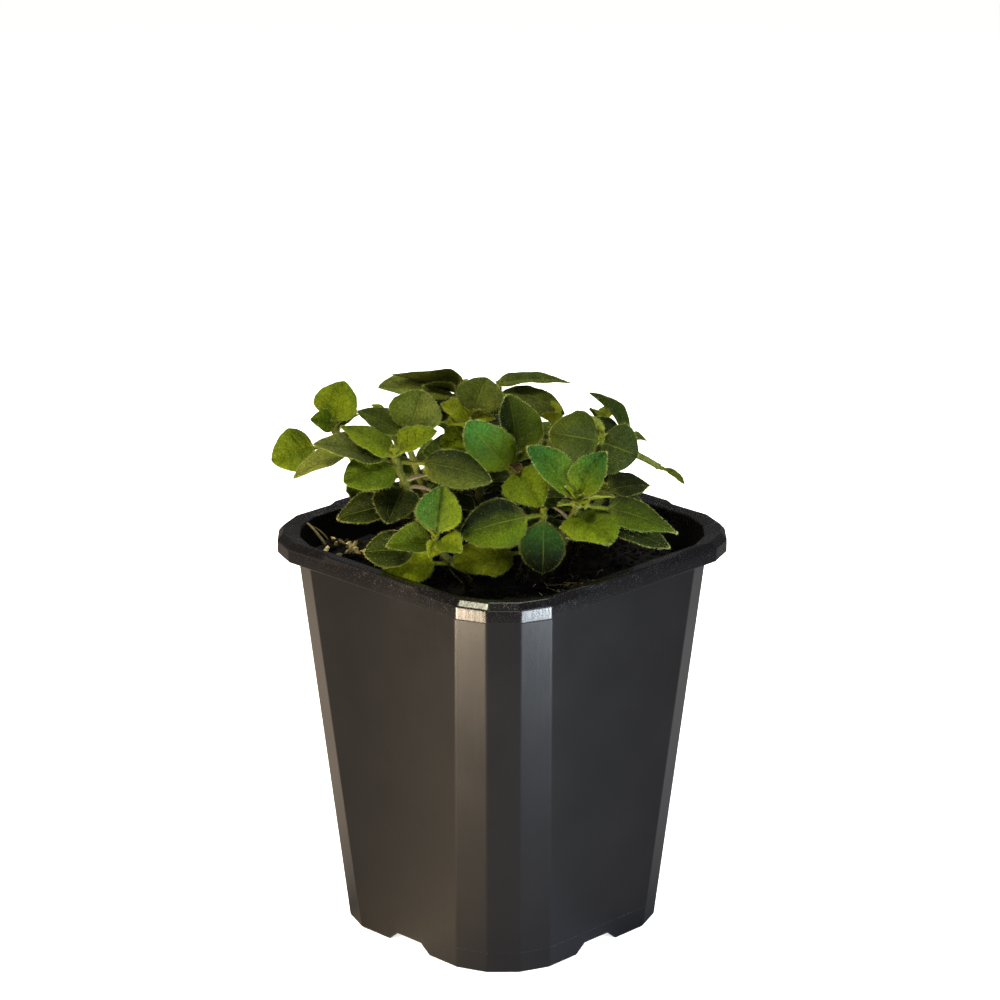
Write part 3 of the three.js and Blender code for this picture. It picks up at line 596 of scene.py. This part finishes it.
LEAFY_STEMS = {
    "front_left": dict(root=(-9, -20), apex=(-18, -33, 122), leaves=[
        Leaf("blue", 1, 70, 68, 14.5, 13, 22, fold=0.45, point=0.3, other="bright", over=-0.8),
        Leaf("bright", 0.97, -38, -8, 8.5, 8, 28, cup=0.3),
        Leaf("mid", 0.86, -163, 8, 14.5, 9, -42, cup=0.6, other="fresh", run=0.8),
        Leaf("young", 1, -107, -30, 6, 4.5, -40),
        Leaf("lime", 0.5, -168, 3, 19, 12, -38, 0.26, fold=-0.1),
        Leaf("deep", 0.78, 172, -2, 21, 12, -42, 0.35, other="shade", run=0.5),
    ]),
    "front": dict(root=(5, -14), apex=(11, -24, 126), bud=0.7, leaves=[
        Leaf("deep", 1, -162, -8, 23.5, 14.5, -52, 0.22, fold=-0.15, other="fresh", over=2),
        Leaf("teal", 0.97, -92, -55, 15.5, 12.3, -5, 0.1, 75, point=0, broad=1.15, fold=-0.2,
             other="deep", run=1.8),
        Leaf("young", 0.42, -152, 2, 24, 13, -34, 0.28, fold=-0.1),
    ]),
    "right_front": dict(root=(12, -12), apex=(20, -26, 130), leaves=[
        Leaf("fresh", 1, 161, 47, 20, 9.5, -40, 0.1, cup=0.3, point=0.1, broad=1.05, other="blue",
             run=1.4),
        Leaf("fresh", 1, 25, 58, 15.5, 11, 35, fold=0.5, point=0.3, other="blue", run=1.4),
        Leaf("fresh", 0.84, -50, -12, 15.5, 18, 8, 0.03, cup=-0.05, other="bright", over=-0.9),
        Leaf("shade", 0.98, 8, -18, 29, 13, 30, 0.3, fold=-0.15, point=0.75, broad=0.6,
             other="mid", over=-1.4),
        Leaf("dark", 0.8, -8, -14, 27, 11, 20, 0.4, point=0.4),
        Leaf("young", 1, -90, 10, 5, 4),
        Leaf("young", 1, -165, 55, 6, 4, -20),
        Leaf("dry", 0.75, 165, 40, 6, 1.6),
        Leaf("pale", 1, -12, 14, 10, 4.5, cup=0.5),
        Leaf("pale", 1, -70, 2, 6, 4.5, cup=0.4),
        Leaf("pale", 0.97, -150, 8, 6, 4, cup=0.4),
        *lower_pair(0.55, 140),
    ]),
    "right": dict(root=(17, -5), apex=(27, -11, 128), leaves=[
        Leaf("dark", 1, 22, 2, 14, 12, 20, point=0.4),
        Leaf("dark", 0.9, 60, 14, 14, 11, 5),
        Leaf("mid", 0.6, -20, -8, 18, 12, 10, 0.3),
        Leaf("fresh", 1, -110, 30, 6, 5),
        *lower_pair(0.42, 30),
    ]),
    "centre": dict(root=(3, -5), apex=(3, -12, 137), leaves=[
        Leaf("blue", 0.9, -154, 50, 21, 12.6, -113, 0.14, fold=-0.15, point=0, other="fresh",
             run=-1.3),
        Leaf("deep", 1, 97, 62, 18.5, 14.5, 24, 0.1, fold=0.5, point=0.2, other="mid",
             over=-1.2),
        Leaf("fresh", 0.95, -58, -27, 15.5, 13.5, 30, fold=0.15, other="bright", over=-0.7),
        Leaf("mid", 0.97, 35, 40, 12, 7, 20),
        Leaf("rust", 0.98, -75, -15, 4.5, 3.4, cup=0.5),
        Leaf("rust", 0.9, -20, 10, 4, 3, cup=0.5),
        Leaf("mid", 0.55, -140, 0, 13, 11),
        Leaf("mid", 0.7, -20, 5, 15, 12),
        *lower_pair(0.4, 30),
    ]),
    "crown": dict(root=(-4, -2), apex=(-8, -5, 147), leaves=[
        Leaf("grey", 1, 62, 51, 12.5, 14, 18, fold=0.15, point=0.25),
        Leaf("young", 1, 5, 0, 6, 3.5, 25),
        Leaf("young", 0.97, 165, 30, 10, 8, -30, cup=0.4),
        Leaf("young", 0.97, -150, 10, 8, 7, -30, cup=0.3),
        Leaf("dark", 0.92, 30, 5, 13, 10),
        Leaf("mid", 0.9, -155, -10, 10.5, 8, -60, cup=0.4, other="bright", over=0.8),
        Leaf("dark", 0.8, -160, 4, 15, 10, -62, cup=0.3, other="mid", run=0.8),
        Leaf("mid", 0.8, -100, 5, 13, 12),
        Leaf("mid", 0.7, 70, 8, 13, 11),
        *lower_pair(0.55, 30), *lower_pair(0.4, 0, 13),
    ]),
    "top": dict(root=(-5, 6), apex=(-12, 10, 150), bud=0.8, leaves=[
        Leaf("dark", 1, -161, 22, 21, 10, 24, 0.0, 5, 0.1, fold=0.7, point=0.9, broad=0.5),
        Leaf("pale", 0.97, -162, 12, 23.5, 10.5, -22, 0.08, 15, 0.2, point=0, broad=1, other="silver",
             run=1),
        Leaf("dark", 1, -146, 20, 12, 6, 25, other="grey", over=1),
        Leaf("young", 1, 20, 50, 4.5, 4),
        Leaf("dark", 0.9, 176, 4, 14, 10, -60),
        Leaf("mid", 0.8, 110, 5, 15, 12),
        Leaf("mid", 0.8, -60, 8, 12, 10),
        *lower_pair(0.62, 140, 11), *lower_pair(0.45, 150),
    ]),
    "left": dict(root=(-14, -8), apex=(-29, -20, 141), leaves=[
        Leaf("bright", 1, 20, 27, 13.5, 10, 20, cup=0.35, point=0.3),
        Leaf("mid", 1, 165, 28, 16.5, 12, -12, 0.05, point=0.4, cup=-0.05, other="bright", over=0.8),
        Leaf("silver", 0.93, -173, 19, 23.5, 11.5, -26, 0.2, point=0.35, other="dark", run=-1),
        Leaf("fresh", 0.94, -147, -7, 16.8, 13.5, -32, 0.08, fold=-0.15, other="mid", over=-0.6),
        Leaf("dark", 0.96, -12, -6, 26, 13, 35, 0.3, fold=-0.2, other="grey", over=-1.3),
        Leaf("dark", 0.78, -112, -30, 14, 13, -10),
        Leaf("deep", 0.65, 178, -14, 21, 10, -45, 0.3, point=0.4, other="shade", run=0.6),
        Leaf("dry", 0.8, 5, 15, 7, 2.2),
        Leaf("dry", 0.76, -12, -5, 7, 2.6),
        Leaf("dry", 0.7, 165, -25, 5, 1.5),
        *lower_pair(0.45, 140),
    ], branch=dict(root=(-28, -19, 139), apex=(-49, -8, 140), bud=0.7, leaves=[
        Leaf("fresh", 1, -165, -10, 14, 13.5, -50, fold=0.2, other="bright", over=0.5),
        Leaf("pale", 0.55, -154, -15, 19, 8.5, -15, point=0.4, other="silver", run=0.2),
    ])),
    "left_back": dict(root=(-11, -1), apex=(-26, -13, 144), leaves=[
        Leaf("silver", 1, 58, 54, 14, 15, 30, fold=0.15, other="mid", over=0.8),
        Leaf("shade", 1, 150, 21, 16, 10, -20, point=0.3, other="mid", over=0.5),
        Leaf("mid", 0.7, 150, 5, 16, 12, -10),
        Leaf("mid", 0.7, -20, 5, 14, 11, 10),
        *lower_pair(0.52, 140), *lower_pair(0.36, 130),
    ]),
    "upper_left": dict(root=(-17, 3), apex=(-46, 0, 143), bud=0.8, leaves=[
        Leaf("bright", 1, 53, 67, 13, 13, 20, fold=0.2, other="fresh", over=-0.7),
        Leaf("fresh", 1, -145, 27, 8, 7, -55, cup=0.3),
        Leaf("fresh", 1, 16, 28, 9, 3.5, 5),
        Leaf("mid", 0.97, 26, 33, 8, 3.5, 5),
        Leaf("mid", 0.8, -60, 5, 14, 11),
        Leaf("mid", 0.75, 110, 10, 14, 11),
        *lower_pair(0.55, 70),
    ]),
    "upper_right": dict(root=(14, 1), apex=(27, -4, 140), leaves=[
        Leaf("olive", 1, -150, 18, 17, 15.5, -78, 0.1, fold=-0.2, other="dusk", run=-0.6),
        Leaf("dusk", 1, -25, -13, 10.8, 15, 62, 0.0, fold=-0.25),
        Leaf("pale", 1, 150, 55, 8.5, 5, -30, cup=0.4),
        Leaf("mid", 0.8, 70, 5, 13, 11),
        Leaf("mid", 0.8, -140, 5, 13, 11),
        *lower_pair(0.42, 160, 13),
    ], branch=dict(root=(27, -3, 139), apex=(43, 5, 130), bud=0, leaves=[
        Leaf("olive", 1, -8, -32, 8.5, 3.6, 15, broad=1.1),
    ])),
    "right_top": dict(root=(17, 8), apex=(35, 8, 138), bud=0.6, leaves=[
        Leaf("shade", 1, -172, 49, 17, 11.5, -18, 0.02, fold=0.15, point=0.5, other="dusk"),
        Leaf("grey", 1, 0, -17, 5, 4, 20, 0.05, point=0.6),
        Leaf("dark", 0.95, 178, 20, 14, 9, -60),
        Leaf("mid", 0.8, 100, -5, 13, 11),
        *lower_pair(0.62, 90), *lower_pair(0.45, 160, 13),
    ]),
    "back_top": dict(root=(0, 11), apex=(-1, 20, 149), bud=0.45, leaves=[
        Leaf("shade", 1, 5, 1, 20, 11, 3, 0.0, 15, point=0.35, broad=0.7, other="grey", over=-0.7),
        Leaf("silver", 0.95, -17, -12, 19.5, 14, 14, 0.05, 50, -0.2, fold=0, other="shade", run=0.8),
        Leaf("dark", 0.95, -100, -35, 14, 12),
        Leaf("mid", 0.85, 165, 8, 16, 12),
        Leaf("mid", 0.8, 95, 0, 15, 12),
        *lower_pair(0.65, 10), *lower_pair(0.5, 0),
    ]),
}
BACK_STEMS = {
    "back_far_left": dict(root=(-14, 10), apex=(-31, 20, 138), heading=-180),
    "back_left": dict(root=(-8, 18), apex=(-16, 35, 136), heading=-165),
    "back_middle": dict(root=(5, 20), apex=(6, 36, 136), heading=-135),
    "back_right": dict(root=(12, 15), apex=(28, 34, 133), heading=-128),
    "back_inner": dict(root=(9, 6), apex=(14, 11, 140), heading=105),
}


def chance(n):
    """A repeatable draw between 0 and 1 for each whole number."""
    value = np.sin(n * 12.9898 + 78.233) * 43758.5453
    return value - np.floor(value)


def paired_leaves(stem, heading):
    """Four opposite pairs, each turned a quarter from the last: small and steep at the tip,
    large and flat lower down, with a little of each drawn by chance."""
    rows = []
    for pair, (length, rise) in enumerate(zip((7.2, 12.3, 15.9, 16.9), (48, 26, 12, 2))):
        for side in range(2):
            n = stem * 31 + pair * 7 + side * 3
            draw = [chance(n + k) - 0.5 for k in range(5)]
            long = length * (1 + 0.25 * draw[0])
            tone = ("young", "fresh", "mid", "mid")[pair]
            turn = heading + 90 * pair + 180 * side + 30 * draw[1]
            rows.append(Leaf(tone, 1 - 0.16 * pair, turn, rise + 14 * draw[2], long,
                             long * (0.79 + 0.1 * draw[3]), 24 * draw[4]))
    return rows


def centre_line(stem, t):
    """Points of the stem's centre line, a curve from its foot through its knee to its apex. A
    stem in the mix leans out first and then turns up, and a branch arches a little."""
    end = np.array(stem["apex"], float)
    if len(stem["root"]) == 3:
        start = np.array(stem["root"], float)
        knee = (start + end) / 2 + (0, 0, 2)
    else:
        start = np.array([*stem["root"], MIX_SURFACE + STEM_COLLAR])
        knee = start + (end - start) * (0.6, 0.6, 0.45)
    t = np.asarray(t, float)[..., None]
    return (1 - t) ** 2 * start + 2 * t * (1 - t) * knee + t ** 2 * end


def stem_skin(stem):
    """The stem: rings of a square with round corners, whose radius is 1 + 0.1 cos(4 angle), along
    the centre line. It tapers to the tip and swells a little where its leaves stand."""
    t = np.linspace(0, 1, STEM_ROWS)
    line = centre_line(stem, t)
    if len(stem["root"]) == 2:
        foot = np.array([*stem["root"], MIX_SURFACE])
        depths = np.array([-STEM_BURIED, -6, -3, -1, 0, 1])[:, None]
        line = np.concatenate([foot + depths * (0, 0, 1), line])
        t = np.concatenate([np.zeros(len(depths)), t])
        for _ in range(6):
            line[3:-1] = 0.5 * line[3:-1] + 0.25 * (line[2:-2] + line[4:])
    along = unit(np.gradient(line, axis=0))
    across = unit(np.cross((0.0, 1.0, 0.0), along))
    angle = circle(STEM_ROUND)
    radius = STEM_FOOT + (STEM_TIP - STEM_FOOT) * t
    for share in {row.share for row in stem["leaves"]}:
        radius = radius * (1 + 0.25 * np.exp(-((t - share) / 0.03) ** 2))
    ring = radius[:, None] * (1 + 0.1 * np.cos(4 * angle))
    grid = rings_round(line, across, np.cross(along, across), ring, angle)
    uv = np.stack(np.broadcast_arrays(t[:, None] - 2.0, 0 * angle), axis=-1)
    # The stem turns dark reddish towards its foot: partly its own colour, partly painted shade under
    # the leaves.
    reddish_and_shaded = np.clip(1.8 - 2.2 * t, 0, 1)[:, None, None] * np.ones((1, len(angle), 1))
    tone = np.array(STEM_GREEN) * (1 - reddish_and_shaded) + np.array(STEM_RED_SHADED) * reddish_and_shaded
    return np.concatenate([grid, uv, tone], axis=2)


def leaf_skin(stem, row, n):
    """A leaf: a flat tube round its midrib. At share t of its length and angle a round it, a
    point lies at L t along, at half cos(a) to the side and at thick sin(a) up, on a blade that
    droops as t (1 - t), cups, folds and puffs with cos(a), and is quilted by |sin| between its
    veins. half is the ovate outline w/2 sin(pi u^broad)^0.6 (1 - point u^2), where u is the
    share of the blade."""
    h, r, w = np.radians([row.heading, row.rise, row.roll])
    along = np.array([np.cos(r) * np.cos(h), np.cos(r) * np.sin(h), np.sin(r)])
    level = np.array([-np.sin(h), np.cos(h), 0])
    side0 = level * np.cos(w) + np.cross(along, level) * np.sin(w)
    up0 = np.cross(along, side0)
    stalk, length = row.stalk, row.length
    u = (1 - np.cos(np.pi * np.arange(1, BLADE_ROWS + 1) / BLADE_ROWS)) / 2
    t = np.concatenate([stalk * np.array([0, 0.35, 0.7, 0.94]), stalk + (1 - stalk) * u])[:, None]
    u = np.concatenate([np.zeros(4), u])[:, None]
    angle = circle(BLADE_ROUND)[None]
    c, s = np.cos(angle), np.sin(angle)
    far = np.abs(c)
    phase = 2 * np.pi * chance(n)
    veins_at = VEINS * (u - 0.3 * far)
    lean = 1 + 0.07 * np.sin(phase) * c * np.sin(np.pi * u)
    scallop = 1 + SCALLOP * np.sin(2 * np.pi * veins_at + phase)
    scallop = scallop + NOTCHING * np.sin(7 * u + 2 * phase) * np.sign(c)
    blade = row.width / 2 * np.sin(np.pi * np.clip(u, 1e-6, 1) ** row.broad).clip(0) ** 0.6
    blade = blade * (1 - row.point * u ** 2)
    half = np.maximum(np.where(u < 0.5, STALK_HALF, 0.03), blade) * lean * scallop
    thick = BLADE_THICK * (1.15 - 0.6 * u)
    thick = np.where(u > 0, thick + (STALK_THICK - thick) * np.exp(-((u / 0.03) ** 2)), STALK_THICK)
    rib = 0.3 * (1 - u) * np.exp(-((c * half / 0.45) ** 2)) * (s < 0)
    flat = np.sqrt(np.clip(u * (1 - u) * 4, 0, 1))
    size = min(1.0, row.width / 12)
    off_rib = 1 - np.exp(-((c * half / 0.9) ** 2))
    quilt = np.abs(np.sin(np.pi * veins_at)) ** 0.8 - 0.6
    quilt = QUILT * size * quilt * flat * (1 - far ** 4) * off_rib
    groove = -GROOVE * size * np.exp(-((c * half / 0.6) ** 2)) * flat
    puff = PUFF * half * np.sin(np.pi * far)
    waves = 1.4 + 1.2 * chance(n + 2)
    ripple = np.sin(2 * np.pi * (waves * u + 0.25 * np.sign(c)) + phase)
    ripple = RIPPLE * half * far ** 3 * ripple
    droop = length * np.radians(row.bend) / 2 * t * (1 - t)
    tip = -0.06 * length * (chance(n + 3) - 0.1) * u ** 3
    lift = droop + tip + half * (row.cup * c ** 2 + row.fold * far) + puff
    lift = lift + ripple + quilt + groove + s * thick + np.minimum(s, 0) * rib
    twist = np.radians(20) * (chance(n + 4) - 0.5) * (t - 0.5)
    side = side0 * np.cos(twist)[..., None] + up0 * np.sin(twist)[..., None]
    up = up0 * np.cos(twist)[..., None] - side0 * np.sin(twist)[..., None]
    sway = 0.05 * length * (chance(n + 6) - 0.5) * np.sin(np.pi * t)
    foot = centre_line(stem, row.share)
    grid = foot + along * (length * t)[..., None] + side * (half * c + sway)[..., None]
    grid = grid + up * lift[..., None]
    uv = np.stack(np.broadcast_arrays(np.where(u > 0, u, -0.1), c), axis=-1)
    # Painted light and shade: the tone turns into the other one along and across the leaf.
    turn = np.clip(0.5 + row.run * (u - 0.5) + 0.5 * row.over * c, 0, 1)[..., None]
    other = row.other or row.tone
    turn = turn if other != row.tone else 0 * turn
    shade = np.array(TONES_AND_PAINTED_SHADE[row.tone]) * (1 - turn) + np.array(TONES_AND_PAINTED_SHADE[other]) * turn
    shade = shade * (0.9 + 0.2 * chance(n + 5))
    pale = np.array(TONES_AND_PAINTED_SHADE["pale"])
    to_pale = np.where(u > 0, 0.3 * np.exp(-((u / 0.1) ** 2)), 0.5) + 0 * c
    to_pale = np.clip(to_pale + 0.25 * (s < -0.2), 0, 1)[..., None]
    return np.concatenate([grid, uv, shade * (1 - to_pale) + pale * to_pale], axis=2)


def bud_leaves(stem, n):
    """The four tiny leaves that close the tip of a stem, two crossed pairs, nearly upright."""
    size = stem.get("bud", 1.0)
    return [
        Leaf("young", 1, 90 * k + 360 * chance(n), 74 - 18 * (k % 2), (2.6 + (k % 2)) * size,
             (2.0 + 0.7 * (k % 2)) * size, 0, 0.06, 40, 0.35)
        for k in range(4) if size
    ]


def grown_skins(stem, n):
    """The skins of a stem, its bud, its leaves and its branch."""
    rows = stem["leaves"] + bud_leaves(stem, n)
    skins = [stem_skin(stem)] + [leaf_skin(stem, row, n + 7 * k) for k, row in enumerate(rows)]
    if "branch" in stem:
        skins += grown_skins(stem["branch"], n + 500)
    return skins


def hair_spikes(skins, rng):
    """The feet and tips of fine hairs. Some stand on the skin, leaning to the leaf's tip, and
    more edge the leaf's margin. A hair's foot is a point drawn on the grid."""
    feet, tips = [], []
    for skin in skins:
        grid = skin[..., :3]
        rows, columns = grid.shape[:2]
        size = np.linalg.norm(grid[-1, 0] - grid[0, 0])
        count = int(HAIRS_PER_MM * size)
        i = rng.integers(1, rows - 1, count)
        j = rng.integers(0, columns, count)
        if columns == BLADE_ROUND:
            edge = rng.random(count) < HAIRS_ON_EDGE
            j = np.where(edge, np.where(rng.random(count) < 0.5, 0, columns // 2), j)
        f = rng.random(count)[:, None]
        j_next = (j + 1) % columns
        start = grid[i, j] * (1 - f) + grid[i + 1, j] * f
        run = grid[i, j] - grid[i - 1, j]
        out = unit(np.cross(grid[i, j_next] - grid[i, j - 1], run), 1e-9)
        run = unit(run, 1e-9)
        long = rng.uniform(*HAIR_LONG, (count, 1)) * min(1.0, 0.5 + size / 20)
        lean = rng.uniform(0.1, 0.7, (count, 1)) * run + rng.normal(0, 0.22, (count, 3))
        feet.append(start)
        tips.append(start + (out + lean) * long)
    return np.concatenate(feet), np.concatenate(tips)


def spike_mesh(feet, tips, radius):
    """Points and faces of closed three-sided spikes."""
    run = tips - feet
    across = unit(np.cross(run, (0.3, 0.5, 0.81)), 1e-9)
    over = unit(np.cross(run, across), 1e-9)
    angle = 2 * np.pi / 3 * np.arange(3)
    base = rings_round(feet, across, over, np.array([radius]), angle)
    points = np.concatenate([base, tips[:, None]], axis=1).reshape(-1, 3)
    one_spike = np.array([(0, 1, 3), (1, 2, 3), (2, 0, 3), (2, 1, 0)])
    faces = (one_spike + 4 * np.arange(len(feet))[:, None, None]).reshape(-1, 3)
    return points, faces.tolist()


def stand(points):
    """Turns points from the plant's own frame, x right and y to the back, to the row frame."""
    x, y, z = np.moveaxis(points, -1, 0)
    c, s = np.cos(PLANT_TURN), np.sin(PLANT_TURN)
    return np.stack([x * c - y * s, x * s + y * c, z], axis=-1)


# Veins: a pale midrib, and side veins that leave it aslant and curve to the leaf's tip.
veins, veins_in, veins_out = effect_group(
    "veins", {"Pairs": VEINS}, ["Midrib", "Side veins", "Margin"]
)
vein_uv = add(veins, "SeparateXYZ", {"Vector": add(veins, "TexCoord").outputs["UV"]})
vein_u, vein_c = vein_uv.outputs["X"], math(veins, "ABSOLUTE", vein_uv.outputs["Y"])
midrib = math(veins, "SUBTRACT", 1.0, times(veins, vein_c, 22.0), clamp=True)
midrib = times(veins, midrib, math(veins, "GREATER_THAN", vein_u, -1.0))
vein_slant = math(veins, "SUBTRACT", vein_u, times(veins, vein_c, 0.3))
vein_phase = times(veins, times(veins, vein_slant, veins_in.outputs["Pairs"]), np.pi)
off_vein = math(veins, "ABSOLUTE", math(veins, "SINE", vein_phase))
side_line = math(veins, "SUBTRACT", 1.0, times(veins, off_vein, 1.7), clamp=True)
side_line = times(veins, side_line, side_line)
side_line = times(veins, side_line, math(veins, "SUBTRACT", 1.05, vein_c, clamp=True))
side_line = times(veins, side_line, math(veins, "GREATER_THAN", vein_u, 0.01))
margin = math(veins, "MULTIPLY", math(veins, "SUBTRACT", vein_c, 0.92), 12.0, clamp=True)
feed(veins, veins_out, {"Midrib": midrib, "Side veins": side_line, "Margin": margin})

leaf_look, tree, shader = finish_material("leaf", Roughness=0.62, Specular_IOR_Level=0.07)
leaf_tone = add(tree, "Attribute", attribute_name="tone").outputs["Color"]
leaf_veins = place_group(tree, veins, Pairs=VEINS)
leaf_grain = place_group(tree, grain, Patch=230.0, Fine=1700.0)
leaf_down = place_group(tree, specks, Scale=2100.0, Cover=0.9, Clumps=700.0)
down_glint_mask, side_veins = leaf_down.outputs["Mask"], leaf_veins.outputs["Side veins"]
# leaf_light multiplies the tone by broad patches and fine mottling, by painted shade in the grooves
# of the side veins, and by painted glints where the down's specks lie.
leaf_light = remap(tree, leaf_grain.outputs["Patches"], 0.3, 0.7, 0.8, 1.2)
leaf_mottle = remap(tree, leaf_grain.outputs["Fine"], 0.36, 0.64, 0.76, 1.24)
vein_groove_shade = math(tree, "ADD", times(tree, side_veins, -0.16), 1.0)
down_glints = math(tree, "ADD", times(tree, down_glint_mask, 0.35), 0.97)
for factor in (leaf_mottle, vein_groove_shade, down_glints):
    leaf_light = times(tree, leaf_light, factor)
# The pale share: the midrib and margin in their own pale colour, and the down's specks as painted
# glints.
pale_share = times(tree, leaf_veins.outputs["Midrib"], 0.3)
for mask, most in ((leaf_veins.outputs["Margin"], 0.32), (down_glint_mask, 0.04)):
    pale_share = math(tree, "MAXIMUM", pale_share, times(tree, mask, most))
leaf_colour = blend(tree, pale_share, dimmed(tree, leaf_tone, leaf_light), LEAF_PALE)
feed(tree, shader, {"Base Color": leaf_colour})
leaf_height = leaf_grain.outputs["Fine"]
for mask, depth in ((side_veins, 0.55), (leaf_veins.outputs["Midrib"], 0.6)):
    leaf_height = math(tree, "SUBTRACT", leaf_height, times(tree, mask, depth))
bumped(tree, shader, leaf_height, 0.9, 0.0003)

down, tree, shader = finish_material("leaf_down", Roughness=0.7, Specular_IOR_Level=0.1)
down_grain = place_group(tree, grain, Patch=200.0, Fine=2000.0)
feed(tree, shader, {
    "Base Color": blend(tree, down_grain.outputs["Patches"], DOWN_DULL, DOWN_PALE),
})

for back_index, back_stem in enumerate(BACK_STEMS.values()):
    back_stem["leaves"] = paired_leaves(back_index + 1, back_stem["heading"])

for stem_index, (stem_name, grown) in enumerate({**LEAFY_STEMS, **BACK_STEMS}.items()):
    skins = grown_skins(grown, 1000 * (stem_index + 1))
    points, faces = joined(skins)
    made = piece(f"{stem_name}_shoot", stand(points[:, :3]), faces, leaf_look, "leaf",
                 replaced=[f"{stem_name}_stem"])
    toned(made, points[:, 5:8])
    corner_point = np.zeros(len(made.data.loops), np.int32)
    made.data.loops.foreach_get("vertex_index", corner_point)
    layer = made.data.uv_layers.new(name="UVMap")
    layer.data.foreach_set("uv", points[corner_point, 3:5].ravel().astype(np.float32))
    feet, tips = hair_spikes(skins, np.random.default_rng(900 + stem_index))
    hair_points, hair_faces = spike_mesh(feet, tips, HAIR_RADIUS)
    piece(f"{stem_name}_down", stand(hair_points), hair_faces, down, "leaf")

# ------------------------ studio
# A pale floor that runs out past every view, narrow warm and cool panels low on the left and
# the right whose reflections draw the pot's corner, soft boxes above, and a long lens.

# Painted reflections: the floor's glow for rays that are not the camera's, which the pot's walls
# mirror.
FLOOR_GLOW = {  # by bearing in degrees, to the right of the camera's as seen from the pot
    -135: (1.25, 0.96, 0.7),
    -90: (0, 0, 0),
    -45: (1.2, 0.92, 0.61),
    0: (0.3, 0.31, 0.34),
    45: (0.3, 0.33, 0.44),
    62: (0.1, 0.11, 0.15),
    90: (0, 0, 0),
    135: (0.42, 0.41, 0.44),
}
FLOOR_REACH = 6000
GLOW_FADE = (0.24, 0.34)  # metres from the pot's axis between which the glow dies away
CAMERA_AT, CAMERA_AIM = (-0.7510, -0.7405, 0.4760), (0.6747, 0.6660, -0.3181)
LENS_LENGTH, SENSOR_WIDTH = 146.2, 36.0

floor_corners = FLOOR_REACH * np.array([(-1, -1, 0), (1, -1, 0), (1, 1, 0), (-1, 1, 0)])
floor = place("floor", mesh_of("floor", floor_corners, [(0, 1, 2, 3)]))
pale, tree, shader = finish_material(
    "pale_floor", Roughness=0.9, Specular_IOR_Level=0.0, Emission_Strength=0.75
)
# The camera sees a white floor. The pot mirrors a dim one, whose glow depends on the bearing and dies
# away near the pot: painted reflections, as the floor is no lamp.
seen = add(tree, "LightPath").outputs["Is Camera Ray"]
floor_at = add(tree, "SeparateXYZ", {"Vector": add(tree, "TexCoord").outputs["Object"]})
floor_x, floor_y = floor_at.outputs["X"], floor_at.outputs["Y"]
to_camera = times(tree, math(tree, "ADD", floor_x, floor_y), -1.0)
to_right = math(tree, "SUBTRACT", floor_x, floor_y)
bearing_share = remap(tree, math(tree, "ARCTAN2", to_right, to_camera), -np.pi, np.pi)
glow_ramp = add(tree, "ValToRGB", {"Fac": bearing_share})
while len(glow_ramp.color_ramp.elements) < len(FLOOR_GLOW):
    glow_ramp.color_ramp.elements.new(0.5)
for stop, (glow_bearing, colour) in zip(glow_ramp.color_ramp.elements, FLOOR_GLOW.items()):
    stop.position = 0.5 + glow_bearing / 360
    stop.color = (*colour, 1)
away = math(tree, "SQRT", math(tree, "ADD", times(tree, floor_x, floor_x),
                               times(tree, floor_y, floor_y)))
glow = blend(tree, remap(tree, away, *GLOW_FADE, 0.0, 0.85), glow_ramp.outputs["Color"],
             (0, 0, 0, 1))
feed(tree, shader, {
    "Base Color": blend(tree, seen, (0.1, 0.1, 0.1, 1), (0.85, 0.85, 0.85, 1)),
    "Emission Color": blend(tree, seen, glow, (1, 1, 1, 1)),
})
floor.data.materials.append(pale)


def soft_light(name, bearing, away, rise, width, height, power, colour, aim=0.06, gloss=True):
    """A soft light that no camera sees, at a bearing like the glow's. It faces the pot's axis at
    the height aim. Without gloss it only fills, and nothing mirrors it."""
    data = bpy.data.lights.new(name, "AREA")
    data.shape = "RECTANGLE"
    data.size, data.size_y = width, height
    data.energy = power
    data.color = colour
    made = place(name, data)
    turn = np.radians(225 + bearing)
    made.location = (away * np.cos(turn), away * np.sin(turn), rise)
    made.rotation_euler = (Vector((0, 0, aim)) - made.location).to_track_quat("-Z", "Y").to_euler()
    made.visible_camera = False
    made.visible_glossy = gloss


soft_light("warm_strip", -45, 0.24, 0.065, 0.07, 0.12, 1.15, (1.0, 0.81, 0.58))
soft_light("cool_strip", 45, 0.24, 0.073, 0.07, 0.104, 0.95, (0.84, 0.93, 1.0))
soft_light("left_panel", -92, 0.45, 0.12, 0.35, 0.22, 0.1, (1.0, 0.82, 0.62))
soft_light("warm_box", -45.5, 0.6, 1.12, 0.32, 0.32, 11.5, (0.97, 0.94, 0.68))
soft_light("cool_box", 50, 0.8, 0.45, 0.4, 0.4, 1.0, (0.8, 0.9, 1.0))
soft_light("behind", 165, 0.45, 1.05, 0.4, 0.4, 4.0, (1, 1, 0.95))
soft_light("front", 0, 0.9, 0.35, 0.4, 0.3, 0.8, (1, 1, 1))
soft_light("back_panel", 180, 0.75, 0.55, 0.5, 0.4, 10.0, (1.0, 0.97, 0.9), aim=0.12, gloss=False)

world = bpy.data.worlds.new("studio_air")
bpy.context.scene.world = world
world.use_nodes = True
feed(world.node_tree, world.node_tree.nodes["Background"], {
    "Color": (1, 1, 1, 1), "Strength": 0.1,
})
bpy.context.scene.view_settings.view_transform = "Standard"

lens = bpy.data.cameras.new("camera")
lens.sensor_width = SENSOR_WIDTH
lens.lens = LENS_LENGTH
camera = place("camera", lens)
camera.location = CAMERA_AT
camera.rotation_euler = Vector(CAMERA_AIM).to_track_quat("-Z", "Y").to_euler()
bpy.context.scene.camera = camera
